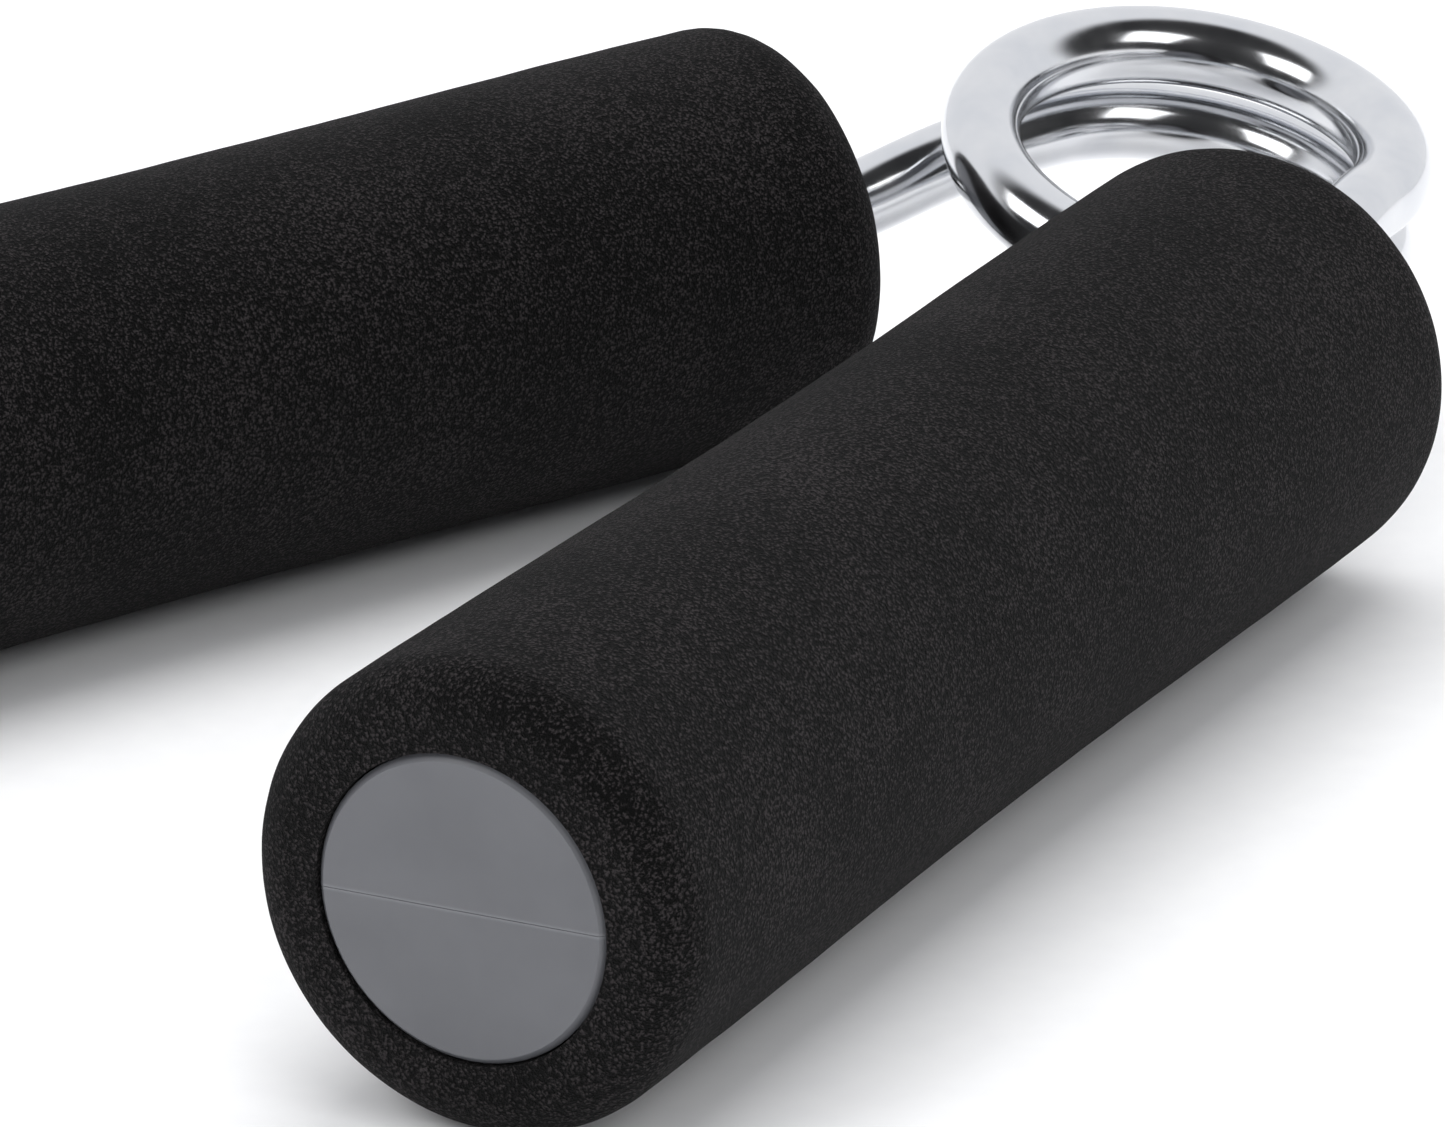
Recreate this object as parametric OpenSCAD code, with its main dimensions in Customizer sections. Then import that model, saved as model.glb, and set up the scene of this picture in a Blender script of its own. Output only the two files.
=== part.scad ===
// Hand grip strengthener: two foam-covered handles joined by one coiled spring wire.
// It lies on its sleeves, with the coil towards +Y and the free ends of the handles
// towards -Y. The wire turns about a coil axis that leans to the right, so that the
// top end of the coil reaches the right handle and the bottom end the left one.
// Millimetres. The origin is under the middle of the object, on the surface it lies on.

/* [Spring wire] */
// Wire diameter
wire_d = 5.6; // [5.2:0.1:5.8]
// Radius of the coil, from its axis to the middle of the wire
coil_r = 14.6; // [14.4:0.1:15.2]
// Full turns, besides the part turn between the two legs
full_turns = 1; // [1:1:2]
// Rise of one turn, in wire diameters
turn_rise = 1.14; // [1.14:0.01:1.16]
// Lean of the coil axis, in degrees
coil_lean = 17; // [12:1:20]
// Height of the middle of the coil above the middle of the handles
coil_lift = 2.9; // [2.4:0.1:3.4]

/* [Handles] */
// Angle between each handle and the middle line, in degrees
half_angle = 13; // [11:0.5:15]
// Distance from the middle of the coil to the line of each handle
handle_offset = 17.2; // [16.8:0.1:18]
// Distance along a handle from the coil to its sleeve
sleeve_start = 22.6; // [20:0.2:28]

/* [Foam sleeves] */
// Outer diameter of a sleeve at its ends
sleeve_d = 30; // [28:0.5:32]
// Length of a sleeve
sleeve_len = 108.5; // [100:0.5:115]
// How much thinner a sleeve is at mid length, on the radius
waist = 0.45; // [0:0.05:1]
// Rounding of the end at the coil
coil_end_round = 4.4; // [2:0.2:5]
// Rounding of the free end
free_end_round = 3.2; // [2:0.2:4.6]

/* [Cores] */
// Outer diameter of a core
core_d = 19.4; // [18:0.1:20]
// Wall of a core half
core_wall = 2; // [1.6:0.1:2.4]
// Distance from the coil end of the sleeve to the wire's hooked end
anchor_depth = 62; // [50:1:70]
// Number of hollows in each core half between the coil end and the hooked end
front_hollows = 4; // [3:1:5]
// Number of hollows between the hooked end and the free end
back_hollows = 3; // [2:1:3]
// Diameter of the locating pegs
peg_d = 2.6; // [2:0.1:3]

/* [Hidden] */

$fn = 48;

// Colours
chrome = [0.80, 0.81, 0.83];
core_grey = [0.45, 0.46, 0.49];
foam_black = [0.13, 0.13, 0.135];

// The wire
wire_r = wire_d / 2;
wire_sides = 12;
rings_per_turn = 26;
pitch = turn_rise * wire_d;
coil_sweep = 360 * full_turns + 180 - 2 * half_angle;
coil_half_rise = pitch * coil_sweep / 720;
coil_rings = round(rings_per_turn * coil_sweep / 360);
leg_gap = 0.25;          // slit between the coil and the leg that swings
leg_curve_steps = 12;
leg_pull_coil = 0.6;     // how long a leg keeps the coil's own direction, of its bent length
leg_pull_sleeve = 0.35;  // and how soon it takes up the handle's
hook_r = 5;              // bend radius of the hooked end, at the middle of the wire
hook_tail = 2.4;         // straight tip of the hooked end
hook_steps = 6;

// The handles, measured along each one from the foot of the coil's centre
sleeve_end = sleeve_start + sleeve_len;
sleeve_r = sleeve_d / 2;
sleeve_bore_gap = 0.1;
leg_straight_start = sleeve_start - 3;
anchor_z = sleeve_start + anchor_depth;

// The cores
core_r = core_d / 2;
core_start = sleeve_start + 0.6;
core_chamfer = 0.4;
channel_gap = 0.1;
mid_gap = 0.02;          // between the two halves, on each side
mouth_len = 4;           // solid collar round the wire where it goes in
rib_t = 4;
anchor_front = 8;        // solid length before the hooked end's bend
anchor_back = 7;         // solid length behind the hooked tip, which holds a pair of pegs
end_wall = 3.5;
peg_x = (wire_r + core_r - core_wall / 2) / 2 + 0.6;
peg_len = 3;
peg_gap = 0.06;
front_from = core_start + mouth_len;
front_to = anchor_z - hook_r - anchor_front;
front_step = (front_to - front_from + rib_t) / front_hollows;
back_from = anchor_z + anchor_back;
back_to = sleeve_end - end_wall;
back_step = (back_to - back_from + rib_t) / back_hollows;

// Outer box of the object, for the origin
far_y = coil_r + wire_r;
near_y = handle_offset * sin(half_angle) - (sleeve_end - free_end_round) * cos(half_angle)
         - (sleeve_r - free_end_round) * sin(half_angle) - free_end_round;
coil_centre = [0, -(far_y + near_y) / 2, sleeve_r + coil_lift];

// ---- geometry helpers ----

function unit(v) = v / norm(v);

// A point of the coil about its own upright axis; t runs 0..1 from the left leg to the right
function coil_point(t) =
    let (a = 180 - half_angle - t * coil_sweep)
    [coil_r * cos(a), coil_r * sin(a), coil_half_rise * (2 * t - 1)];

// Leans a point or a direction of the coil as the whole coil leans
function lean(p) =
    [p[0] * cos(coil_lean) + p[2] * sin(coil_lean), p[1],
     p[2] * cos(coil_lean) - p[0] * sin(coil_lean)];

// Direction of the handle (side 1 right, -1 left) away from the coil, and the foot of its line
function handle_dir(side) = [side * sin(half_angle), -cos(half_angle), 0];
function handle_foot(side) =
    [side * handle_offset * cos(half_angle), handle_offset * sin(half_angle), -coil_lift];

// Point at fraction t of a smooth curve from p0, leaving along d0, to p1, arriving along d1
function bend_point(p0, d0, p1, d1, t) =
    let (reach = norm(p1 - p0), s = 1 - t,
         a = p0 + d0 * reach * leg_pull_coil, b = p1 - d1 * reach * leg_pull_sleeve)
    s * s * s * p0 + 3 * s * s * t * a + 3 * s * t * t * b + t * t * t * p1;

// The way of one leg from the coil's end to the hooked tip, about the middle of the coil
function leg_route(side, gap) =
    let (end_t = side > 0 ? 1 : 0,
         tip = coil_point(end_t),
         back = coil_point(end_t - side * 0.002),
         d0 = unit(lean(tip - back)),
         p0 = lean(tip) + d0 * gap,
         d1 = handle_dir(side),
         foot = handle_foot(side),
         out = [side * cos(half_angle), sin(half_angle), 0],
         p1 = foot + d1 * leg_straight_start,
         bend_start = foot + d1 * (anchor_z - hook_r))
    concat(
        [for (i = [0 : leg_curve_steps]) bend_point(p0, d0, p1, d1, i / leg_curve_steps)],
        [for (i = [0 : hook_steps])
            let (a = 90 * i / hook_steps)
            bend_start + d1 * hook_r * sin(a) + out * hook_r * (1 - cos(a))],
        [bend_start + d1 * hook_r + out * (hook_r + hook_tail)]);

function tangent(route, i) =
    let (n = len(route))
    unit(route[min(i + 1, n - 1)] - route[max(i - 1, 0)]);

// A round wire swept along a route; up is never parallel to it
module wire_along(route, up) {
    n = len(route);
    points = [for (i = [0 : n - 1])
        let (t = tangent(route, i), side = unit(cross(t, up)), rise = cross(side, t))
        for (j = [0 : wire_sides - 1])
            let (a = 360 * j / wire_sides)
            route[i] + wire_r * (cos(a) * side + sin(a) * rise)];
    walls = [for (i = [0 : n - 2], j = [0 : wire_sides - 1], k = [0, 1])
        let (a = i * wire_sides + j, b = i * wire_sides + (j + 1) % wire_sides)
        k == 0 ? [a, b, b + wire_sides] : [a, b + wire_sides, a + wire_sides]];
    first_cap = [for (j = [wire_sides - 1 : -1 : 0]) j];
    last_cap = [for (j = [0 : wire_sides - 1]) (n - 1) * wire_sides + j];
    polyhedron(points, concat(walls, [first_cap, last_cap]), convexity = 8);
}

// Puts a handle's own frame in place: Z along the handle, X outwards, Y up
module at_handle(side) {
    translate(coil_centre)
        mirror([side < 0 ? 1 : 0, 0, 0])
            translate(handle_foot(1))
                rotate([0, 0, half_angle])
                    rotate([90, 0, 0])
                        children();
}

// ---- spring ----

module spring_coil() {
    color(chrome)
        translate(coil_centre)
            rotate([0, coil_lean, 0])
                wire_along([for (i = [0 : coil_rings]) coil_point(i / coil_rings)], [0, 0, 1]);
}

module spring_leg(side, gap) {
    color(chrome)
        translate(coil_centre)
            wire_along(leg_route(side, gap), [0, 0, 1]);
}

// ---- cores ----

// Half of the core's solid outline, on the +Y side of the parting plane
module half_blank() {
    translate([0, 0, core_start])
        rotate_extrude(angle = 180)
            polygon([[0, 0], [core_r - core_chamfer, 0], [core_r, core_chamfer],
                     [core_r, sleeve_end - core_start - core_chamfer],
                     [core_r - core_chamfer, sleeve_end - core_start],
                     [0, sleeve_end - core_start]]);
}

// The groove that holds the straight wire and its hooked end
module wire_groove() {
    groove_r = wire_r + channel_gap;
    straight_to = anchor_z - hook_r;
    translate([0, 0, core_start - 1])
        cylinder(r = groove_r, h = straight_to - core_start + 1);
    translate([hook_r, 0, straight_to])
        rotate([90, 0, 0])
            rotate([0, 0, 90])
                rotate_extrude(angle = 90)
                    translate([hook_r, 0])
                        circle(r = groove_r);
    translate([hook_r, 0, anchor_z])
        rotate([0, 90, 0])
            cylinder(r = groove_r, h = hook_tail + channel_gap);
}

// One hollow between two ribs
module hollow(from, length) {
    translate([0, 0, from])
        cylinder(r = core_r - core_wall, h = length);
}

// Centres of the ribs that carry the pegs
function peg_places() =
    [front_from + front_step - rib_t / 2,
     back_from - rib_t / 2,
     sleeve_end - end_wall - back_step + rib_t / 2];

module core_half(upper) {
    mirror([0, upper ? 0 : 1, 0]) {
        difference() {
            half_blank();
            wire_groove();
            for (i = [0 : front_hollows - 1])
                hollow(front_from + i * front_step, front_step - rib_t);
            for (i = [0 : back_hollows - 1])
                hollow(back_from + i * back_step, back_step - rib_t);
            // a hair of clearance on the parting plane
            translate([-sleeve_r, -sleeve_r, 0])
                cube([sleeve_d, sleeve_r + mid_gap, sleeve_end + 1]);
            if (upper)
                for (z = peg_places(), x = [-peg_x, peg_x])
                    translate([x, 0, z])
                        rotate([-90, 0, 0])
                            cylinder(d = peg_d + 2 * peg_gap, h = peg_len + 0.3);
        }
        if (!upper)
            for (z = peg_places(), x = [-peg_x, peg_x])
                translate([x, -peg_len, z])
                    rotate([-90, 0, 0])
                        cylinder(d = peg_d, h = peg_len + 1);
    }
}

module core_piece(side, upper) {
    color(core_grey)
        at_handle(side)
            core_half(upper);
}

// ---- foam sleeves ----

round_steps = 6;
waist_steps = 8;

// Outer outline of a sleeve from the coil end to the free end, as radius and distance
function sleeve_outline() =
    let (body_from = coil_end_round, body_to = sleeve_len - free_end_round)
    concat(
        [for (i = [0 : round_steps])
            let (a = 90 * i / round_steps)
            [sleeve_r - coil_end_round * (1 - sin(a)), coil_end_round * (1 - cos(a))]],
        [for (i = [1 : waist_steps - 1])
            let (t = i / waist_steps)
            [sleeve_r - waist * pow(sin(180 * t), 2), body_from + t * (body_to - body_from)]],
        [for (i = [0 : round_steps])
            let (a = 90 * i / round_steps)
            [sleeve_r - free_end_round * (1 - cos(a)), body_to + free_end_round * sin(a)]]);

module foam_sleeve(side) {
    bore_r = core_r + sleeve_bore_gap;
    color(foam_black)
        at_handle(side)
            translate([0, 0, sleeve_start])
                rotate_extrude($fn = 64)
                    polygon(concat([[bore_r, 0]], sleeve_outline(), [[bore_r, sleeve_len]]));
}

spring_coil();
spring_leg(-1, 0);  // left_spring_leg
spring_leg(1, leg_gap);  // right_spring_leg
core_piece(-1, true);  // left_core_upper
core_piece(-1, false);  // left_core_lower
core_piece(1, true);  // right_core_upper
core_piece(1, false);  // right_core_lower
foam_sleeve(-1);  // left_foam_sleeve
foam_sleeve(1);  // right_foam_sleeve
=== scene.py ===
# %% [markdown]
# # A hand grip strengthener in Blender
# Two foam-covered handles are joined by one coiled spring of chromed wire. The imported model
# already holds every rigid shape at its true size, so it is loaded first, as a fixed frame.
# The pieces that need a finer surface than the frame has are then modelled over it.

# %% Load the frame
import math

import bpy
from mathutils import Matrix, Vector


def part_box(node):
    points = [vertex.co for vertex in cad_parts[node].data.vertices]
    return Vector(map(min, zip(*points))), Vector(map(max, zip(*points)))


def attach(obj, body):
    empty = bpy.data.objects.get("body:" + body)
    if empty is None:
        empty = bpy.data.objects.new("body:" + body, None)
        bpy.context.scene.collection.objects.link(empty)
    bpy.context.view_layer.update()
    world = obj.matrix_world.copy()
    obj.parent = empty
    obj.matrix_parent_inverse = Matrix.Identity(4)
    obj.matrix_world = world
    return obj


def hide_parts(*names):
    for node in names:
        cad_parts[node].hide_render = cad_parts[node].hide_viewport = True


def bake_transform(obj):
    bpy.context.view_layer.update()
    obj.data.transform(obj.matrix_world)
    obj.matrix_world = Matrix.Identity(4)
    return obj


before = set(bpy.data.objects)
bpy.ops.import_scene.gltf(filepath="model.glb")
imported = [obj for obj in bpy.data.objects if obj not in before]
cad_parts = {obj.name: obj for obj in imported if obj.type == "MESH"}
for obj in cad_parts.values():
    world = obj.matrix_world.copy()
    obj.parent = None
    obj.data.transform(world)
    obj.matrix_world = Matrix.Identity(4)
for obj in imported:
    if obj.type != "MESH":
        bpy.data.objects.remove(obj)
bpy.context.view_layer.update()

MM = 0.001

# %% [markdown]
# ## The handles' own axes
# Each handle is a straight bar that lies flat, turned a few degrees from the middle line. Its
# place could be typed in again, but the frame already knows it: the spring's coil gives the
# centre, and the rest follows from the same few sizes that the parts were made with.

# %% Sizes of the real thing, in millimetres and degrees
WIRE_D = 5.6
COIL_R = 14.6          # from the coil's axis to the middle of the wire
COIL_TURNS = 1         # full turns, besides the part turn between the legs
TURN_RISE = 1.14       # rise of one turn, in wire diameters
COIL_LEAN = 17.0
COIL_LIFT = 2.9        # middle of the coil above the middle of the handles
HALF_ANGLE = 13.0      # between a handle and the middle line
HANDLE_OFFSET = 17.2   # from the middle of the coil to a handle's line
SLEEVE_START = 22.6    # from the foot of that line to the sleeve
SLEEVE_LEN = 108.5
SLEEVE_R = 15.0
BORE_R = 9.8
WAIST = 0.45
COIL_END_ROUND = 4.4
FREE_END_ROUND = 3.2

lean = math.radians(COIL_LEAN)
half_angle = math.radians(HALF_ANGLE)
sleeve_low, sleeve_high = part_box("right_foam_sleeve")
handle_z = (sleeve_low.z + sleeve_high.z) / 2 / MM
far_y = COIL_R + WIRE_D / 2
near_y = (HANDLE_OFFSET * math.sin(half_angle)
          - (SLEEVE_START + SLEEVE_LEN - FREE_END_ROUND) * math.cos(half_angle)
          - (SLEEVE_R - FREE_END_ROUND) * math.sin(half_angle) - FREE_END_ROUND)
coil_centre = Vector((0, -(far_y + near_y) / 2, handle_z + COIL_LIFT))
print("middle of the coil in mm:", [round(v, 2) for v in coil_centre])


# %% A handle's frame
def handle_matrix(side):
    """Z runs along the handle away from the coil, X points outwards; side is 1 right, -1 left."""
    along = Vector((side * math.sin(half_angle), -math.cos(half_angle), 0))
    out = Vector((side * math.cos(half_angle), math.sin(half_angle), 0))
    foot = coil_centre + out * HANDLE_OFFSET - Vector((0, 0, COIL_LIFT))
    turn = Matrix((out, along.cross(out), along)).transposed().to_4x4()
    return Matrix.Translation(foot * MM) @ turn


for side, name in ((1, "right"), (-1, "left")):
    tip = handle_matrix(side) @ Vector((0, 0, (SLEEVE_START + SLEEVE_LEN) * MM))
    print(name, "handle ends at, in mm:", [round(v / MM, 2) for v in tip])

# %% [markdown]
# ## The camera
# A long lens from a little above the handles flattens the perspective, as product pictures do.
# The camera is set by its place and its three axes, so nothing has to be aimed by eye.

# %% Camera
CAMERA_PLACE = (0.38464, -0.41544, 0.21864)
LENS, FILM_WIDTH = 224.2, 36           # in mm
right = Vector((0.7462, 0.6648, -0.0347)).normalized()
back = Vector((0.6315, -0.6904, 0.3531))
back = (back - right * back.dot(right)).normalized()
up = back.cross(right)
bpy.ops.object.camera_add()
camera = bpy.context.object
camera.name = "camera"
camera.data.lens = LENS
camera.data.sensor_width = FILM_WIDTH
camera.data.clip_start = 0.01
camera.data.clip_end = 20
camera.matrix_world = Matrix.Translation(CAMERA_PLACE) @ Matrix(
    (right, up, back)).transposed().to_4x4()
bpy.context.scene.camera = camera
print("camera is", round(camera.location.length, 3), "m from the origin")

# %% [markdown]
# ## Two helpers for materials
# Colours are chosen as they look on a screen, and Blender counts light, so one function turns
# the first into the second. The other adds a node with its settings and its links in one line,
# which keeps a material short enough to read as a recipe.


# %% Helpers for materials
def colour(code):
    """An sRGB hex value such as '#A0A4A8' as linear red, green, blue and alpha."""
    parts = [int(code[i:i + 2], 16) / 255 for i in (1, 3, 5)]
    return (*[c / 12.92 if c <= 0.04045 else ((c + 0.055) / 1.055) ** 2.4 for c in parts], 1.0)


def add_node(tree, kind, settings=(), links=()):
    """Adds one node. Settings are (name or socket, value) pairs, links are (socket, source)."""
    node = tree.nodes.new(kind)
    for key, value in settings:
        if isinstance(key, str) and hasattr(node, key):
            setattr(node, key, value)
        else:
            node.inputs[key].default_value = value
    for key, source in links:
        tree.links.new(source, node.inputs[key])
    return node


def new_material(name):
    """A material with its tree emptied, and the tree's output node."""
    material = bpy.data.materials.new(name)
    material.use_nodes = True
    tree = material.node_tree
    tree.nodes.clear()
    return material, tree, tree.nodes.new("ShaderNodeOutputMaterial")


print("pure white becomes", colour("#FFFFFF"))

# %% [markdown]
# ## Chromed spring steel
# The wire is drawn spring steel with a bright chromium plate. It could be a perfect mirror, but
# real plating has a faint orange-peel swell from the polishing under it, and a thin haze where
# hands have touched it. Neither shows as a pattern: they only make the edges of the reflections
# a little uneven and soft, and that is what tells the eye it is metal.

# %% Chrome material
chrome, tree, output = new_material("bright_chromium_plated_spring_steel")
place = add_node(tree, "ShaderNodeTexCoord")
haze = add_node(
    tree, "ShaderNodeTexNoise",
    [("Scale", 260.0), ("Detail", 3.0), ("Roughness", 0.6)],      # patches about 4 mm across
    [("Vector", place.outputs["Object"])])
haze_roughness = add_node(
    tree, "ShaderNodeMapRange",
    [("From Min", 0.35), ("From Max", 0.75), ("To Min", 0.12), ("To Max", 0.2)],
    [("Value", haze.outputs["Fac"])])
tint = add_node(
    tree, "ShaderNodeValToRGB", [], [("Fac", haze.outputs["Fac"])])
tint.color_ramp.elements[0].position = 0.3
tint.color_ramp.elements[0].color = colour("#D3D5D9")
tint.color_ramp.elements[1].position = 0.75
tint.color_ramp.elements[1].color = colour("#DDDEE0")
swell = add_node(
    tree, "ShaderNodeTexNoise",
    [("Scale", 420.0), ("Detail", 1.0)],                          # swells 2 to 3 mm across
    [("Vector", place.outputs["Object"])])
swell_bump = add_node(
    tree, "ShaderNodeBump", [("Strength", 0.12), ("Distance", 0.00006)],
    [("Height", swell.outputs["Fac"])])
shader = add_node(
    tree, "ShaderNodeBsdfPrincipled", [("Metallic", 1.0)],
    [("Base Color", tint.outputs["Color"]), ("Roughness", haze_roughness.outputs["Result"]),
     ("Normal", swell_bump.outputs["Normal"])])
tree.links.new(shader.outputs["BSDF"], output.inputs["Surface"])
print("made", chrome.name)

# %% [markdown]
# ## Black closed-cell foam
# The sleeves are nitrile rubber foam, expanded in a tube and ground to size. Grinding cuts the
# outermost cells open, so the skin is a field of pits about a quarter of a millimetre apart, run
# together into short wrinkles, with finer crumbs between them. It has no gloss. The shade in the
# low places of this grain is painted into the colour as near-black painted shade, and the high
# places are painted lighter. A slow change of tone lies over it, some millimetres wide, where the
# grinding bit deeper.

# %% Foam material
# PIT_DEPTH_SHARE also sets how dark the painted shade in the low places of the grain comes out
PIT_DEPTH_SHARE = -0.55          # how far a pit goes down, against a crumb's height of 1
TONE_SHARE = 0.22
foam, tree, output = new_material("black_ground_nitrile_rubber_foam")
place = add_node(tree, "ShaderNodeTexCoord")
warp = add_node(
    tree, "ShaderNodeTexNoise", [("Scale", 2000.0), ("Detail", 2.0)],
    [("Vector", place.outputs["Object"])])
warped = add_node(
    tree, "ShaderNodeVectorMath", [("operation", "MULTIPLY_ADD"), (1, (0.0003, 0.0003, 0.0003))],
    [(0, warp.outputs["Color"]), (2, place.outputs["Object"])])
pits = add_node(
    tree, "ShaderNodeTexVoronoi",
    [("feature", "SMOOTH_F1"), ("Scale", 3600.0), ("Smoothness", 0.3)],   # pits 0.28 mm apart
    [("Vector", warped.outputs["Vector"])])
crumbs = add_node(
    tree, "ShaderNodeTexNoise",
    [("Scale", 6500.0), ("Detail", 2.0), ("Roughness", 0.7)],             # crumbs 0.15 mm across
    [("Vector", place.outputs["Object"])])
# the grain's height drives the bump, and it also drives the painted shade in the colour
grain_height_and_shade = add_node(
    tree, "ShaderNodeMath", [("operation", "MULTIPLY_ADD"), (1, PIT_DEPTH_SHARE)],
    [(0, pits.outputs["Distance"]), (2, crumbs.outputs["Fac"])])
tone = add_node(
    tree, "ShaderNodeTexNoise", [("Scale", 90.0), ("Detail", 3.0)],       # cloudy over 10 mm
    [("Vector", place.outputs["Object"])])
shade_and_tone = add_node(
    tree, "ShaderNodeMath", [("operation", "MULTIPLY_ADD"), (1, TONE_SHARE)],
    [(0, tone.outputs["Fac"]), (2, grain_height_and_shade.outputs["Value"])])
# painted shade: the low places of the grain are coloured near-black (#010101) and the high places
# lighter, standing in for the shade that falls into them
foam_colour_with_painted_shade = add_node(tree, "ShaderNodeValToRGB", [], [("Fac", shade_and_tone.outputs["Value"])])
foam_colour_with_painted_shade.color_ramp.elements[0].position = 0.33
foam_colour_with_painted_shade.color_ramp.elements[0].color = colour("#010101")
foam_colour_with_painted_shade.color_ramp.elements[1].position = 0.58
foam_colour_with_painted_shade.color_ramp.elements[1].color = colour("#393536")
grain_bump = add_node(
    tree, "ShaderNodeBump", [("Strength", 1.0), ("Distance", 0.0003)],
    [("Height", grain_height_and_shade.outputs["Value"])])
shader = add_node(
    tree, "ShaderNodeBsdfPrincipled",
    [("Roughness", 0.93), ("IOR", 1.45), ("Specular IOR Level", 0.2),
     ("Sheen Weight", 0.02), ("Sheen Roughness", 0.5)],
    [("Base Color", foam_colour_with_painted_shade.outputs["Color"]), ("Normal", grain_bump.outputs["Normal"])])
tree.links.new(shader.outputs["BSDF"], output.inputs["Surface"])
print("made", foam.name)

# %% [markdown]
# ## Moulded grey polypropylene
# The cores are injection-moulded polypropylene, a waxy plastic with a satin skin. Its grey has a
# little blue in it. Light goes a fraction of a millimetre into it, which softens every edge, and
# handling leaves hair-fine scratches. Where the two halves meet, a faint light line is laid
# across the end of each handle.

# %% Polypropylene material
plastic, tree, output = new_material("grey_moulded_polypropylene")
place = add_node(tree, "ShaderNodeTexCoord")
cloud = add_node(
    tree, "ShaderNodeTexNoise", [("Scale", 140.0), ("Detail", 4.0)],      # mottling over 7 mm
    [("Vector", place.outputs["Object"])])
base = add_node(tree, "ShaderNodeValToRGB", [], [("Fac", cloud.outputs["Fac"])])
base.color_ramp.elements[0].position = 0.3
base.color_ramp.elements[0].color = colour("#5E5F63")
base.color_ramp.elements[1].position = 0.7
base.color_ramp.elements[1].color = colour("#65666A")
height = add_node(tree, "ShaderNodeSeparateXYZ", [], [("Vector", place.outputs["Object"])])
# a faint light line, #8E9094, is mixed into the colour within about a quarter of a millimetre of
# the height where the two halves meet
from_joint = add_node(
    tree, "ShaderNodeMath", [("operation", "SUBTRACT"), (1, handle_z * MM)],
    [(0, height.outputs["Z"])])
joint_distance = add_node(
    tree, "ShaderNodeMath", [("operation", "ABSOLUTE")], [(0, from_joint.outputs["Value"])])
joint_line = add_node(
    tree, "ShaderNodeMapRange",
    [("From Min", 0.00024), ("From Max", 0.00006), ("To Min", 0.0), ("To Max", 0.3)],
    [("Value", joint_distance.outputs["Value"])])
lined = add_node(
    tree, "ShaderNodeMix", [("data_type", "RGBA"), (7, colour("#8E9094"))],
    [(0, joint_line.outputs["Result"]), (6, base.outputs["Color"])])
stretch = add_node(
    tree, "ShaderNodeMapping", [("Rotation", (0.5, 0.9, 0.3)), ("Scale", (150.0, 5200.0, 900.0))],
    [("Vector", place.outputs["Object"])])
scratches = add_node(
    tree, "ShaderNodeTexNoise", [("Scale", 1.0), ("Detail", 2.0)],
    [("Vector", stretch.outputs["Vector"])])
satin = add_node(
    tree, "ShaderNodeMapRange",
    [("From Min", 0.3), ("From Max", 0.8), ("To Min", 0.32), ("To Max", 0.46)],
    [("Value", scratches.outputs["Fac"])])
skin = add_node(
    tree, "ShaderNodeMath", [("operation", "MULTIPLY_ADD"), (1, 0.25)],
    [(0, scratches.outputs["Fac"]), (2, cloud.outputs["Fac"])])
skin_bump = add_node(
    tree, "ShaderNodeBump", [("Strength", 0.15), ("Distance", 0.00008)],
    [("Height", skin.outputs["Value"])])
shader = add_node(
    tree, "ShaderNodeBsdfPrincipled",
    [("IOR", 1.49), ("Subsurface Weight", 0.08), ("Subsurface Radius", (1.0, 1.0, 1.0)),
     ("Subsurface Scale", 0.0005)],
    [("Base Color", lined.outputs[2]), ("Roughness", satin.outputs["Result"]),
     ("Normal", skin_bump.outputs["Normal"])])
tree.links.new(shader.outputs["BSDF"], output.inputs["Surface"])
for node_name in ("left_core_upper", "left_core_lower", "right_core_upper", "right_core_lower"):
    core = bpy.data.objects[node_name]
    for slot in core.material_slots:
        slot.material = plastic
    print(node_name, "is now", plastic.name)

# %% [markdown]
# ## The spring wire
# On the real grip the coil and both legs are one piece of wire, wound cold and plated after.
# It could be a swept circle for the coil and two more for the legs, but joints in a mirror show
# at once. One curve with a round bevel gives the whole wire an unbroken surface, so its route is
# worked out first: a leg from its hooked end, round the coil, and down to the other hooked end.


# %% The route of the wire
def coil_point(t):
    """A point of the coil about its upright axis, t from 0 at the left leg to 1 at the right."""
    sweep = math.radians(360 * COIL_TURNS + 180 - 2 * HALF_ANGLE)
    a = math.pi - half_angle - t * sweep
    rise = TURN_RISE * WIRE_D * sweep / (4 * math.pi)
    return Vector((COIL_R * math.cos(a), COIL_R * math.sin(a), rise * (2 * t - 1)))


lean_turn = Matrix.Rotation(lean, 3, "Y")
ANCHOR = 84.6          # from the foot of the handle's line to the hooked end
HOOK_R = 5.0
HOOK_TAIL = 2.4
HOOK_STEPS = 8
COIL_STEPS = 520
STRAIGHT_BEFORE_SLEEVE = 3
PULL_COIL, PULL_SLEEVE = 0.6, 0.35     # how long the leg keeps the coil's way, and the handle's


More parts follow.
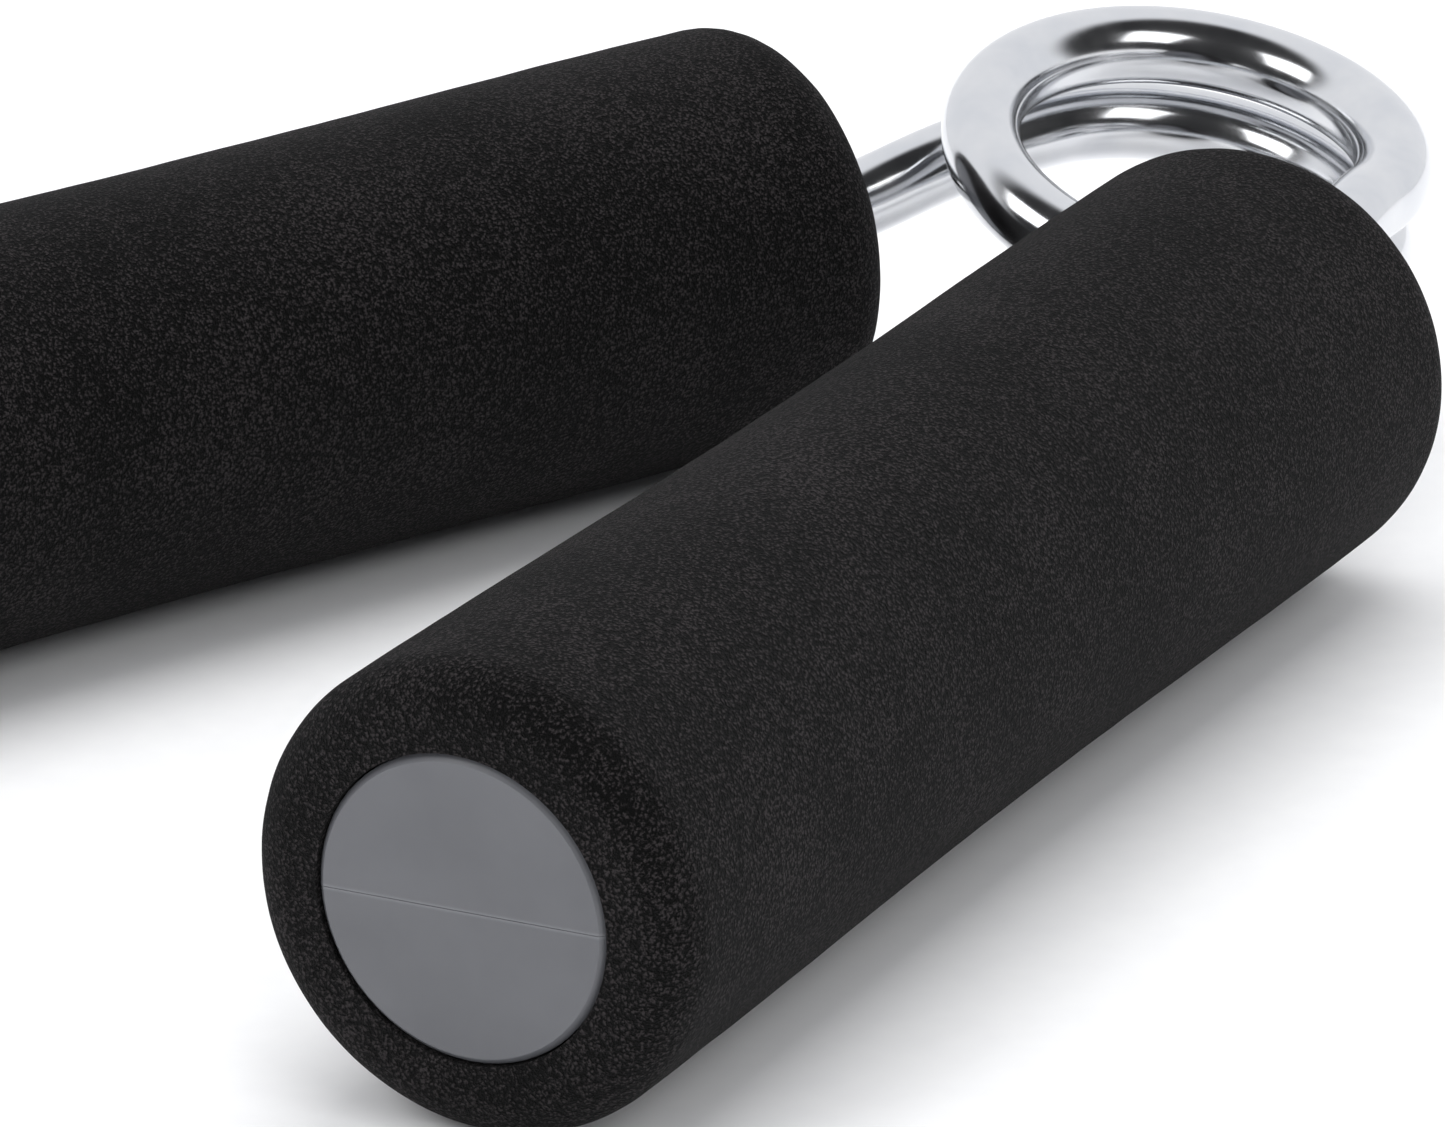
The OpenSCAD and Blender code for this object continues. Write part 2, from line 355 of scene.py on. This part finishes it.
def leg_route(side, steps=40):
    """The middle of the wire from the coil's end into the handle, about the coil's centre."""
    end = 1 if side > 0 else 0
    start = lean_turn @ coil_point(end)
    leaving = (start - lean_turn @ coil_point(end - side * 0.002)).normalized()
    along = Vector((side * math.sin(half_angle), -math.cos(half_angle), 0))
    out = Vector((side * math.cos(half_angle), math.sin(half_angle), 0))
    foot = out * HANDLE_OFFSET - Vector((0, 0, COIL_LIFT))
    arriving = foot + along * (SLEEVE_START - STRAIGHT_BEFORE_SLEEVE)
    reach = (arriving - start).length
    a, b = start + leaving * reach * PULL_COIL, arriving - along * reach * PULL_SLEEVE
    points = []
    for i in range(1, steps + 1):
        t = i / steps
        s = 1 - t
        points.append(s ** 3 * start + 3 * s * s * t * a + 3 * s * t * t * b + t ** 3 * arriving)
    bend = foot + along * (ANCHOR - HOOK_R)
    for i in range(HOOK_STEPS + 1):
        a = math.pi / 2 * i / HOOK_STEPS
        points.append(bend + along * HOOK_R * math.sin(a) + out * HOOK_R * (1 - math.cos(a)))
    return points + [bend + along * HOOK_R + out * (HOOK_R + HOOK_TAIL)]


coil_route = [lean_turn @ coil_point(i / COIL_STEPS) for i in range(COIL_STEPS + 1)]
route = [coil_centre + p for p in leg_route(-1)[::-1] + coil_route + leg_route(1)]
wire_length = sum((q - p).length for p, q in zip(route, route[1:]))
print(len(route), "points,", round(wire_length), "mm of wire")

# %% Sweep the wire and make it a mesh
bpy.ops.object.select_all(action="DESELECT")
bpy.ops.curve.primitive_nurbs_path_add(location=(0, 0, 0))
wire = bpy.context.object
wire.name = "spring_wire"
curve = wire.data
curve.splines.clear()
spline = curve.splines.new("POLY")
spline.points.add(len(route) - 1)
for point, place_mm in zip(spline.points, route):
    point.co = (*(place_mm * MM), 1.0)
curve.dimensions = "3D"
curve.twist_mode = "MINIMUM"
curve.bevel_depth = WIRE_D / 2 * MM
curve.bevel_resolution = 14
curve.use_fill_caps = True
bpy.ops.object.convert(target="MESH")
wire = bpy.context.object
bpy.ops.object.mode_set(mode="EDIT")
bpy.ops.mesh.select_all(action="SELECT")
bpy.ops.mesh.remove_doubles(threshold=0.00001)
bpy.ops.mesh.normals_make_consistent(inside=False)
bpy.ops.object.mode_set(mode="OBJECT")
bpy.ops.object.shade_smooth_by_angle(angle=math.radians(40))
wire.data.materials.clear()
wire.data.materials.append(chrome)
print("spring_wire has", len(wire.data.polygons), "faces")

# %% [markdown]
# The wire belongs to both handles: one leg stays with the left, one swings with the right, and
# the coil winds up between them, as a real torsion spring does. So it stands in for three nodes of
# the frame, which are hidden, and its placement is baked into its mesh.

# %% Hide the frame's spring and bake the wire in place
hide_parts("spring_coil", "left_spring_leg", "right_spring_leg")
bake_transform(wire)

# %% [markdown]
# ## A foam sleeve
# The sleeve is a thick foam tube, pushed over the core while it is soft. Its ends are rounded, it
# is a hair thinner at mid length, and its skin is never quite true. It could be a lathed outline,
# but a cylinder shaped by hand shows better how the parts of a tube relate: the end faces are
# inset to the wall, the two insets are bridged to open the bore, and the outer edges are bevelled.

# %% Sizes of the sleeve's mesh
AROUND = 176           # faces round the sleeve, about 0.54 mm each
LENGTHS = 190          # faces along it
ROUND_STEPS = 9
RELIEF = 0.09          # how deep the skin's slow unevenness goes, in mm
SLACK = 0.00002        # two heights closer than this, in metres, are the same
print("a face of the sleeve is about", round(2 * math.pi * SLEEVE_R / AROUND, 2), "mm wide")


# %% Helpers for picking what an operator works on
def pick(obj, faces=None, edges=None):
    """In edit mode, selects only the faces or the edges for which the test is true."""
    bpy.ops.object.mode_set(mode="EDIT")
    bpy.ops.mesh.select_mode(type="FACE" if faces else "EDGE")
    bpy.ops.mesh.select_all(action="DESELECT")
    bpy.ops.object.mode_set(mode="OBJECT")
    mesh = obj.data
    if faces:
        for face in mesh.polygons:
            face.select = faces(face)
    else:
        for edge in mesh.edges:
            edge.select = edges(*[mesh.vertices[i].co for i in edge.vertices])
    bpy.ops.object.mode_set(mode="EDIT")


# %% Shape one sleeve from a cylinder
def model_sleeve(name):
    """A foam tube along Z, its coil end at SLEEVE_START, with every face pointing outwards."""
    bpy.ops.object.select_all(action="DESELECT")
    bpy.ops.mesh.primitive_cylinder_add(
        vertices=AROUND, radius=SLEEVE_R * MM, depth=SLEEVE_LEN * MM, end_fill_type="NGON",
        location=(0, 0, (SLEEVE_START + SLEEVE_LEN / 2) * MM))
    sleeve = bpy.context.object
    sleeve.name = name
    bpy.ops.object.transform_apply(location=True, rotation=True, scale=True)
    low, high = SLEEVE_START * MM, (SLEEVE_START + SLEEVE_LEN) * MM

    def on(z, value):
        return abs(z - value) < SLACK

    # round the two outer edges
    pick(sleeve, edges=lambda a, b: on(a.z, low) and on(b.z, low))
    bpy.ops.mesh.bevel(offset=COIL_END_ROUND * MM, segments=ROUND_STEPS, profile=0.5)
    pick(sleeve, edges=lambda a, b: on(a.z, high) and on(b.z, high))
    bpy.ops.mesh.bevel(offset=FREE_END_ROUND * MM, segments=ROUND_STEPS, profile=0.5)
    # inset each end face to the bore, in one step for each end's own wall
    for z, rounding in ((low, COIL_END_ROUND), (high, FREE_END_ROUND)):
        wall = (SLEEVE_R - rounding) * math.cos(math.pi / AROUND) - BORE_R
        pick(sleeve, faces=lambda f: abs(f.normal.z) > 0.99 and on(f.center.z, z))
        bpy.ops.mesh.inset(thickness=wall * MM)
    pick(sleeve, faces=lambda f: len(f.vertices) == AROUND)
    bpy.ops.mesh.bridge_edge_loops()
    # cut the long outer wall across, for the waist and the uneven skin
    pick(sleeve, edges=lambda a, b: abs(a.z - b.z) > SLEEVE_LEN * MM / 2
         and a.xy.length > (SLEEVE_R - 0.5) * MM)
    bpy.ops.mesh.subdivide(number_cuts=LENGTHS - 1)
    bpy.ops.object.mode_set(mode="OBJECT")
    print(name, "starts with", len(sleeve.data.polygons), "faces")
    return sleeve


# %% Draw the waist in and make the skin uneven
def finish_sleeve(sleeve, seed):
    """Narrows the middle, adds the skin's slow relief and gives the foam its material."""
    body_from = (SLEEVE_START + COIL_END_ROUND) * MM
    body_len = (SLEEVE_LEN - COIL_END_ROUND - FREE_END_ROUND) * MM
    for vertex in sleeve.data.vertices:
        t = (vertex.co.z - body_from) / body_len
        radius = vertex.co.xy.length
        if 0 < t < 1 and radius > (SLEEVE_R - 0.5) * MM:
            drawn = radius - WAIST * MM * math.sin(math.pi * t) ** 2
            vertex.co.x *= drawn / radius
            vertex.co.y *= drawn / radius
    outer = sleeve.vertex_groups.new(name="skin")
    outer.add([v.index for v in sleeve.data.vertices
               if v.co.xy.length > (BORE_R + 0.6) * MM], 1.0, "REPLACE")
    clouds = bpy.data.textures.new(sleeve.name + "_relief", "CLOUDS")
    clouds.noise_scale = 0.006 + 0.0004 * seed
    clouds.noise_depth = 2
    relief = sleeve.modifiers.new("relief", "DISPLACE")
    relief.texture = clouds
    relief.texture_coords = "LOCAL"
    relief.vertex_group = "skin"
    relief.mid_level = 1.0             # 1 leaves the highest places where they are
    relief.strength = RELIEF * MM
    bpy.ops.object.modifier_apply(modifier="relief")
    sleeve.vertex_groups.clear()
    bpy.ops.mesh.customdata_custom_splitnormals_clear()
    bpy.ops.object.shade_smooth_by_angle(angle=math.radians(50))
    sleeve.data.materials.clear()
    sleeve.data.materials.append(foam)


# %% Put a sleeve on each handle
for side, name in ((1, "right"), (-1, "left")):
    sleeve = model_sleeve(name + "_foam_grip")
    finish_sleeve(sleeve, seed=side + 1)
    sleeve.data.transform(handle_matrix(side))
    sleeve.data.update()
    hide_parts(name + "_foam_sleeve")
    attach(sleeve, name + "_handle")
    across = [max(c[i] for c in sleeve.bound_box) - min(c[i] for c in sleeve.bound_box)
              for i in range(3)]
    print(sleeve.name, "is, along each axis in mm:", [round(v / MM, 1) for v in across])

# %% [markdown]
# ## The floor and the light
# The grip lies on a wide sheet of white paper. Chrome shows the room it stands in, so the room
# matters as much as the lamps: white walls behind and above give the light grey faces, the unlit
# side in front gives the black bands, and two soft boxes there give the white glints. A plain sky
# of one brightness would leave the wire dull. The front only looks black in the metal: as a light
# on foam, plastic and paper it is only about half dimmed, so that the shadows stay pale.

# %% Floor
bpy.ops.object.select_all(action="DESELECT")
bpy.ops.mesh.primitive_plane_add(size=8, location=(0, 0, 0))
floor = bpy.context.object
floor.name = "floor"
paper, tree, output = new_material("matt_white_paper")
place = add_node(tree, "ShaderNodeTexCoord")
fibres = add_node(
    tree, "ShaderNodeTexNoise", [("Scale", 350.0), ("Detail", 4.0)],
    [("Vector", place.outputs["Object"])])
white = add_node(tree, "ShaderNodeValToRGB", [], [("Fac", fibres.outputs["Fac"])])
white.color_ramp.elements[0].color = colour("#F4F4F5")
white.color_ramp.elements[1].color = colour("#FAFAFA")
shader = add_node(
    tree, "ShaderNodeBsdfPrincipled", [("Roughness", 0.9), ("Specular IOR Level", 0.2)],
    [("Base Color", white.outputs["Color"])])
tree.links.new(shader.outputs["BSDF"], output.inputs["Surface"])
floor.data.materials.append(paper)
print("floor laid at z = 0")

# %% The room
world = bpy.data.worlds.new("studio")
bpy.context.scene.world = world
world.use_nodes = True
tree = world.node_tree
tree.nodes.clear()
UNLIT_SIDE = Vector((0.66, -0.64, 0.40)).normalized()
DIMMED_FOR_MATT = 0.45           # how much of the darkness a matt surface feels
sky = add_node(tree, "ShaderNodeTexCoord")
facing = add_node(
    tree, "ShaderNodeVectorMath", [("operation", "DOT_PRODUCT"), (1, tuple(UNLIT_SIDE))],
    [(0, sky.outputs["Generated"])])
dark_side = add_node(
    tree, "ShaderNodeMapRange",
    [("interpolation_type", "SMOOTHSTEP"), ("From Min", 0.08), ("From Max", 0.34),
     ("To Min", 1.0), ("To Max", 0.03)],
    [("Value", facing.outputs["Value"])])
seen = add_node(tree, "ShaderNodeLightPath")
darkened = add_node(
    tree, "ShaderNodeMath", [("operation", "MULTIPLY_ADD"), (1, DIMMED_FOR_MATT)],
    [(0, seen.outputs["Is Diffuse Ray"]), (2, seen.outputs["Is Glossy Ray"])])
room_strength = add_node(
    tree, "ShaderNodeMix", [("data_type", "FLOAT"), (2, 1.0)],
    [(0, darkened.outputs["Value"]), (3, dark_side.outputs["Result"])])
light = add_node(
    tree, "ShaderNodeBackground", [("Color", colour("#FBFCFF"))],
    [("Strength", room_strength.outputs[0])])
output = add_node(tree, "ShaderNodeOutputWorld", [], [("Surface", light.outputs["Background"])])
bpy.context.scene.view_settings.view_transform = "Standard"
print("the room is white behind and dark in front")


# %% Soft boxes
GRIP_MIDDLE = Vector((0, 0, 0.015))


def soft_box(name, place, size, power, mirrored=True):
    """A square lamp that faces the middle of the grip; mirrored says that metal shows it."""
    bpy.ops.object.light_add(type="AREA", location=place)
    lamp = bpy.context.object
    lamp.name = name
    lamp.data.shape = "SQUARE"
    lamp.data.size = size
    lamp.data.energy = power
    aim = GRIP_MIDDLE - Vector(place)
    lamp.rotation_mode = "QUATERNION"
    lamp.rotation_quaternion = aim.to_track_quat("-Z", "Y")
    lamp.visible_glossy = mirrored
    print(name, "of", power, "W,", round(aim.length, 2), "m away")


soft_box("key_left", (-0.35, -1.0, 1.0), 0.75, 5)
soft_box("key_right", (1.2, -0.25, 0.9), 0.75, 4.2)
# the top lamp lights the foam, and would leave a white streak along the wire
soft_box("top", (-0.1, 0.35, 1.4), 1.2, 10.5, mirrored=False)
